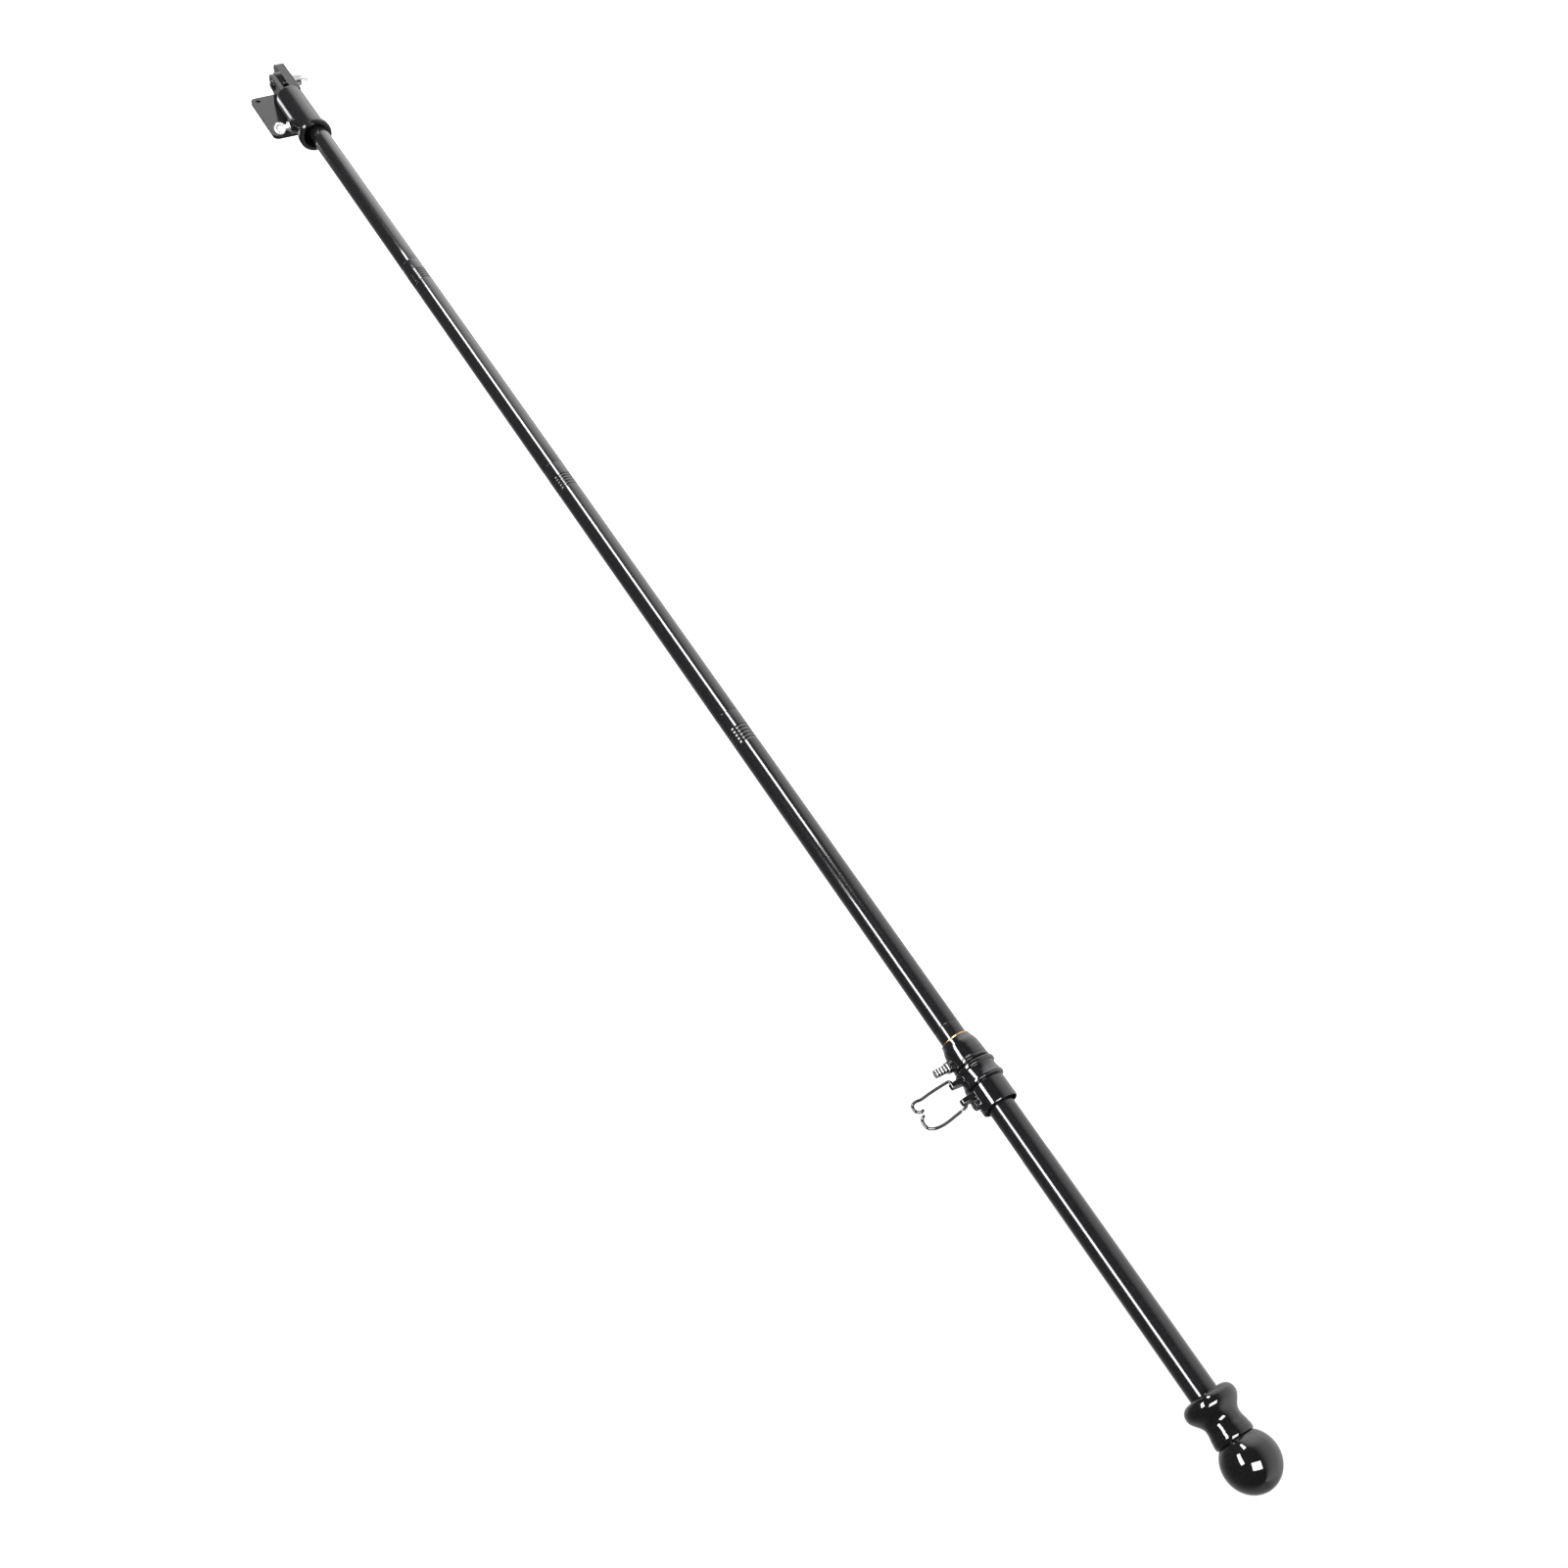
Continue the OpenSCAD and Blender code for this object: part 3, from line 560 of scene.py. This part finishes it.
def ring_swivel():
    """Waisted ring with its lug, and the long open collar with its lug, boss and screw."""
    r, waist, inner = SWIVEL, SWIVEL - 1.5, LINER + 0.3
    a, b = SWIVEL_START, COLLAR_START
    ring = turned("waisted_ring", [
        (inner, a + 8), (inner, a), (r - 2, a), (r - 1.5, a + 0.6), (r - 0.4, a + 0.8), (r, a + 1.4),
        (r, a + 3.2), (r - 0.5, a + 3.8), (waist, a + 4.1), (waist, a + 6.4), (waist + 0.2, a + 8.4),
        (r - 0.7, a + 11), (r, b - 2), (r, b - 0.8), (r - 0.4, b - 0.3), (r - 1.4, b), (inner, b),
        (inner, a + 8)], RING)
    stand_in(joined("waisted_ring", [ring, lug("lug_a", LUG_1, 4.4, 2.9)]), "swivel_ring")
    c, mouth, end = COLLAR, COLLAR - 0.9, COLLAR_END
    collar = turned("long_collar", [
        (inner, b + 6), (inner, b), (c - 1, b), (c - 1, b + 0.5), (c - 0.2, b + 0.9), (c, b + 1.4),
        (c, end - 0.8), (c - 0.45, end), (mouth, end - 0.5), (mouth, LINER_END),
        (LINER + 0.9, LINER_END - 0.3), (LINER + 0.9, LINER_END - 2), (inner, LINER_END - 2),
        (inner, b + 6)], RING)
    at_boss = RING + Vector((0, 0, BOSS_UP * MM))
    boss = turned("boss", [
        (2.5, 14), (2.5, 12.4), (4.5, 12.4), (4.2, 14.2), (4.2, 16.3), (2.5, 16.3), (2.5, 14)],
        at_boss, ALONG_X, 0.35, sides=64)
    stand_in(joined("long_collar", [collar, lug("lug_b", LUG_2, 4.6, 2.9), boss]), "swivel_collar")
    stand_in(turned("set_screw", [
        (0, 12.3), (2.4, 12.3), (2.4, 15.9), (1.25, 15.9), (1.25, 14.4), (0, 14.4)],
        at_boss, ALONG_X, 0.2, closed=False, sides=48), "collar_screw")


def ring_core():
    """Brass liner with its rolled bead, and the snap ring that keeps the swivel on it."""
    stand_in(turned("brass_liner", [
        (LINER_IN, 20), (LINER_IN, 0.2), (LINER + 0.1, 0), (LINER + 0.3, 0.5), (LINER + 0.1, 1),
        (LINER, 1.2), (LINER, LINER_END), (LINER_IN, LINER_END), (LINER_IN, 20)],
        RING, round_by=0.2), "ring_liner")
    low, high, inner, outer = LINER_END - 1.5, LINER_END, LINER + 0.05, LINER + 0.58
    stand_in(turned("snap_ring", [
        (inner, (low + high) / 2), (inner, low), (outer, low), (outer, high), (inner, high),
        (inner, (low + high) / 2)], RING), "ring_retainer")


def clip():
    """Wire clip: its frame, the pin of its gate and the springy gate."""
    length, radius = 33.6, 1.1 * MM
    upper = RING + Vector((HINGE, 0, LUG_1 - LUG_HALF)) * MM
    lower = RING + Vector((HINGE, 0, LUG_2 + LUG_HALF)) * MM
    nose = LUG_1 - LUG_2 - 2 * LUG_HALF
    frame_wire = [(0, 4), (0, 0), (1, -1.9), (3.6, -2.2), (16, -1.2), (25, 0), (length - 4.6, -0.3),
                  (length - 1.2, 0.7), (length, 3.4), (length - 0.8, 6.2), (length - 3.6, 7.8),
                  (length - 6, 7)]
    pin = [(0, -4), (0, 0), (0.8, 1.3), (2.4, 2), (4.6, 2.4)]
    gate = [(5.1, 2.5), (9.5, 3.4), (20.5, 5.2), (length - 5.6, 4.8), (length - 1, 2.2),
            (length - 0.4, nose + 14.4), (length - 2, nose + 11.6), (length - 4.2, nose + 10.6)]
    for name, node, place, points in (("clip_loop", "clip_frame", upper, frame_wire),
                                      ("clip_pin", "clip_root", lower, pin),
                                      ("clip_spring", "clip_gate", lower, gate)):
        route = [Vector((x, 0, z)) * MM for x, z in points]
        first, last = (route[1] - route[0]).normalized(), (route[-1] - route[-2]).normalized()
        route[0] += first * radius
        route[-1] -= last * radius * 0.9
        stand_in(wire(name, route, radius, place), node)


ring_sleeve()
ring_swivel()
ring_core()
clip()


# ---------------------------------------------------------------- the bracket
# Along the pivot bolt, in mm: the nut's seat and height, and the bolt's radius, head seat and end
NUT_FACE, NUT_H, BOLT_R, HEAD_X, PAST_NUT = -14.0, 8.0, 4.0, 7.4, 3.0
HEAD_R, HEAD_H, SHANK_FROM = 6.4, 2.8, -13.0


def bracket():
    """Painted castings with soft edges, the pivot bolt with its washer, and the wing nut."""
    stand_in(edge_rounded("wall_casting", "bracket_base", 0.45 * MM), "bracket_base")
    stand_in(edge_rounded("socket_casting", "bracket_socket", 0.5 * MM), "bracket_socket")
    r, shank_to = BOLT_R - 0.05, HEAD_X + 0.5
    shank = turned("shank", [(0, SHANK_FROM), (r, SHANK_FROM), (r, shank_to), (0, shank_to)], PIVOT, ALONG_X,
                   closed=False, sides=48)
    tail = threaded("tail", r, NUT_FACE - NUT_H - PAST_NUT, SHANK_FROM + 0.5, 1.25, 0.55, PIVOT, ALONG_X)
    stand_in(joined("pivot_bolt_shank", [shank, tail]), "pivot_bolt")
    dome = [(HEAD_R * math.cos(a), HEAD_X + HEAD_H * math.sin(a))
            for a in (math.pi / 2 * k / 12 for k in range(1, 12))]
    outline = [(0, HEAD_X), (HEAD_R - 0.4, HEAD_X), (HEAD_R - 0.1, HEAD_X + 0.1)]
    outline += dome + [(0, HEAD_X + HEAD_H)]
    head = lathe("pivot_bolt_head", in_mm(outline), PIVOT, ALONG_X, 64, closed=False)
    stand_in(head, "pivot_bolt")
    head.data.materials[0] = FINISH["bracket_black"]
    stand_in(turned("plain_washer", [
        (4.1, NUT_FACE + 0.8), (4.1, NUT_FACE), (7.95, NUT_FACE), (7.95, NUT_FACE + 1.6),
        (4.1, NUT_FACE + 1.6), (4.1, NUT_FACE + 0.8)], PIVOT, ALONG_X, 0.3), "nut_washer")
    stand_in(edge_rounded("wing_nut_casting", "wing_nut", 0.6 * MM), "wing_nut")


def spade_screw():
    """Thumbscrew with a dished round paddle on a shouldered, threaded stem."""
    low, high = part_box("socket_thumbscrew")
    at = Vector((PIVOT.x, PIVOT.y, joint["socket_screw_turn"].z))
    tip, face = low.x / MM, 18.3
    paddle_r, paddle_t, paddle_turn = 6.0, 2.8, math.radians(-58)
    paddle_x = high.x / MM - paddle_r
    stem = threaded("stem", 2.95, tip, face + 1, 1.0, 0.45, at, ALONG_X)
    neck = turned("neck", [(0, face), (4.8, face), (4.8, face + 1.6), (3.1, face + 2.3), (2.5, face + 5.5),
                           (0, face + 5.5)], at, ALONG_X, 0.4, closed=False, sides=64)
    rim, dish = paddle_t / 2, paddle_t / 2 * 0.62
    turn = (Matrix.Rotation(paddle_turn, 4, "X") @ Matrix.Translation((paddle_x * MM, 0, 0))
            @ Matrix.Rotation(math.pi / 2, 4, "X"))
    near_side = [(0, -dish), (paddle_r * 0.55, -dish), (paddle_r * 0.72, -rim), (paddle_r - 0.1, -rim * 0.8)]
    far_side = [(r, -z) for r, z in reversed(near_side)]
    paddle = turned("paddle", near_side + [(paddle_r, 0)] + far_side, at, turn, 0.5, closed=False, sides=72)
    stand_in(joined("spade_screw", [stem, neck, paddle]), "socket_thumbscrew")


bracket()
spade_screw()


# ---------------------------------------------------------------- camera, floor and light
# Where the camera stands, and the directions of its picture's right and top
CAMERA_AT = Vector((0.46577, -1.03992, 1.61289))
CAMERA_RIGHT = Vector((-0.8552, -0.10398, 0.50862))
CAMERA_UP = Vector((-0.35606, -0.59586, -0.72036))


def make_camera():
    """The photograph's view: from above the finial, looking back down the pole, rolled over."""
    data = bpy.data.cameras.new("view")
    data.lens, data.sensor_width, data.clip_start = 38.22, 36, 0.01
    camera = bpy.data.objects.new("view", data)
    back = CAMERA_RIGHT.cross(CAMERA_UP)
    camera.matrix_world = Matrix((
        (CAMERA_RIGHT.x, CAMERA_UP.x, back.x, CAMERA_AT.x),
        (CAMERA_RIGHT.y, CAMERA_UP.y, back.y, CAMERA_AT.y),
        (CAMERA_RIGHT.z, CAMERA_UP.z, back.z, CAMERA_AT.z),
        (0, 0, 0, 1)))
    bpy.context.scene.collection.objects.link(camera)
    bpy.context.scene.camera = camera


# Level directions from the pole to the camera's side and to the bright side of the studio
TO_CAMERA = Vector((0.424, -0.906, 0))
TO_SIDE = Vector((-0.906, -0.424, 0))
# How bright the studio is at each turn in degrees round the pole from the camera's side
STUDIO = [(-180, 0.30), (-140, 0.36), (-105, 0.12), (-80, 0.05), (38, 0.04), (62, 0.75), (84, 1.0),
          (122, 0.95), (158, 0.45), (180, 0.30)]


def around(turn, reach, height):
    """A place at a turn in degrees from the camera's side of the pole, a reach from its axis."""
    a = math.radians(turn)
    return Vector((AXIS.x, AXIS.y, height)) + reach * (math.cos(a) * TO_CAMERA + math.sin(a) * TO_SIDE)


def light_box(name, low, high, width, glow, aim=None):
    """A long soft box whose middle line runs from low to high and that faces the pole."""
    data = bpy.data.lights.new(name, "AREA")
    data.shape = "RECTANGLE"
    middle, along = (low + high) / 2, high - low
    data.size, data.size_y = width, along.length
    data.energy = glow * math.pi * width * along.length
    light = bpy.data.objects.new(name, data)
    face = ((aim or Vector((AXIS.x, AXIS.y, middle.z))) - middle).normalized()
    across = along.normalized().cross(-face).normalized()
    up = (-face).cross(across)
    light.matrix_world = Matrix.Translation(middle) @ Matrix((across, up, -face)).transposed().to_4x4()
    light.visible_camera = False
    bpy.context.scene.collection.objects.link(light)
    return light


def light_reaches(light, pieces, included):
    """Has a light reach only the given pieces or, where they aren't included, all but them."""
    group = bpy.data.collections.new(light.name + "_pieces")
    for piece in pieces:
        group.objects.link(piece)
    for entry in group.collection_objects:
        entry.light_linking.link_state = "INCLUDE" if included else "EXCLUDE"
    light.light_linking.receiver_collection = group


def ranged(tree, value, from_low, from_high, low, high):
    """The value run smoothly from low to high over a range, and level outside it."""
    node = tree.nodes.new("ShaderNodeMapRange")
    node.interpolation_type = "SMOOTHSTEP"
    set_range(node, from_low, from_high, low, high)
    tree.links.new(value, node.inputs["Value"])
    return node.outputs["Result"]


def studio_turn(tree, way):
    """A direction's turn round the pole from the camera's side, as 0 to 1 for -180 to 180 degrees."""
    parts = []
    for axis in (TO_SIDE, TO_CAMERA):
        dot = tree.nodes.new("ShaderNodeVectorMath")
        dot.operation = "DOT_PRODUCT"
        dot.inputs[1].default_value = axis
        tree.links.new(way, dot.inputs[0])
        parts.append(dot.outputs["Value"])
    turn = tree.nodes.new("ShaderNodeMath")
    turn.operation = "ARCTAN2"
    for part, socket in zip(parts, turn.inputs):
        tree.links.new(part, socket)
    return spread(tree, turn.outputs[0], 0, 1, -math.pi, math.pi)


def make_world():
    """A studio that is bright to one side and below and dim round the camera, seen as plain white."""
    world = bpy.data.worlds.new("studio")
    bpy.context.scene.world = world
    world.use_nodes = True
    tree = world.node_tree
    tree.nodes.clear()
    way = tree.nodes.new("ShaderNodeTexCoord").outputs["Generated"]
    shade = tree.nodes.new("ShaderNodeValToRGB")
    ramp = shade.color_ramp
    while len(ramp.elements) < len(STUDIO):
        ramp.elements.new(0.5)
    for element, (turn, level) in zip(ramp.elements, STUDIO):
        element.position, element.color = (turn + 180) / 360, (level, level, level, 1)
    split = tree.nodes.new("ShaderNodeSeparateXYZ")
    tree.links.new(way, split.inputs[0])
    # Steeply down, the studio is brighter and turned a little
    lift = ranged(tree, split.outputs["Z"], -0.25, -0.85, 1.25, 2.15)
    lean = ranged(tree, split.outputs["Z"], -0.35, -0.85, 0.0, 0.055)
    lean_on = tree.nodes.new("ShaderNodeMath")
    tree.links.new(studio_turn(tree, way), lean_on.inputs[0])
    tree.links.new(lean, lean_on.inputs[1])
    tree.links.new(lean_on.outputs[0], shade.inputs["Fac"])
    studio, white = tree.nodes.new("ShaderNodeBackground"), tree.nodes.new("ShaderNodeBackground")
    tree.links.new(shade.outputs["Color"], studio.inputs["Color"])
    tree.links.new(lift, studio.inputs["Strength"])
    white.inputs["Color"].default_value = (1, 1, 1, 1)
    seen = tree.nodes.new("ShaderNodeLightPath").outputs["Is Camera Ray"]
    mix, out = tree.nodes.new("ShaderNodeMixShader"), tree.nodes.new("ShaderNodeOutputWorld")
    tree.links.new(seen, mix.inputs[0])
    tree.links.new(studio.outputs[0], mix.inputs[1])
    tree.links.new(white.outputs[0], mix.inputs[2])
    tree.links.new(mix.outputs[0], out.inputs["Surface"])


def make_floor():
    """A plain pale floor, below the pole's lowest reach as it swings down."""
    reach, room = 12.0, 0.15
    level = PIVOT.z - (cad_high.z - PIVOT.z) - room
    corners = [(x * reach, y * reach, level) for x, y in ((-1, -1), (1, -1), (1, 1), (-1, 1))]
    floor = mesh_object("floor", corners, [[0, 1, 2, 3]])
    material, tree, surface, place = shader("floor_paint", (0.9, 0.9, 0.9), roughness=0.8)
    tree.links.new(tint(tree, noise_of(tree, place, 3, 2), (0.88, 0.88, 0.88), (0.92, 0.92, 0.92)),
                   surface.inputs["Base Color"])
    surface.inputs["Emission Color"].default_value = (1, 1, 1, 1)
    surface.inputs["Emission Strength"].default_value = 1.0
    floor.data.materials.append(material)
    floor.visible_glossy = False


make_camera()
make_world()
make_floor()

# Long strips make the shine along the pole. The ring has one of its own, as its tapers would catch both
STRIP_REACH, STRIP_WIDTH = 1.0, 0.26
ring_skins = [bpy.data.objects[name] for name in ("clamp_sleeve", "waisted_ring", "long_collar")]
far_strip = light_box("far_strip", around(10, STRIP_REACH, -0.75), around(12, STRIP_REACH, 0.60),
                      STRIP_WIDTH, 26)
light_box("near_strip", around(-28, STRIP_REACH, 0.70), around(-30, STRIP_REACH, 1.50), STRIP_WIDTH, 24)
ring_strip = light_box("ring_strip", around(-27, STRIP_REACH, -0.75), around(-28, STRIP_REACH, 0.70),
                       STRIP_WIDTH, 24)
light_reaches(far_strip, ring_skins, False)
light_reaches(ring_strip, ring_skins, True)

# A box that shines square on the ball, and a low light that draws the socket's far edge
ball = Vector((AXIS.x, AXIS.y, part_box("finial_ball")[1].z - 0.02))
over, over_half = ball + 1.5 * Vector((0.24, -0.87, 0.43)), Vector((0.1, 0, 0.36))
light_box("over_box", over - over_half, over + over_half, 0.95, 20, ball)
socket = PIVOT + Vector((0, 0, 0.06))
low_light, low_half = socket + Vector((0.28, 0.16, -0.52)), Vector((0, 0, 0.08))
light_box("kicker", low_light - low_half, low_light + low_half, 0.16, 6, socket)
bpy.context.scene.view_settings.view_transform = "Standard"
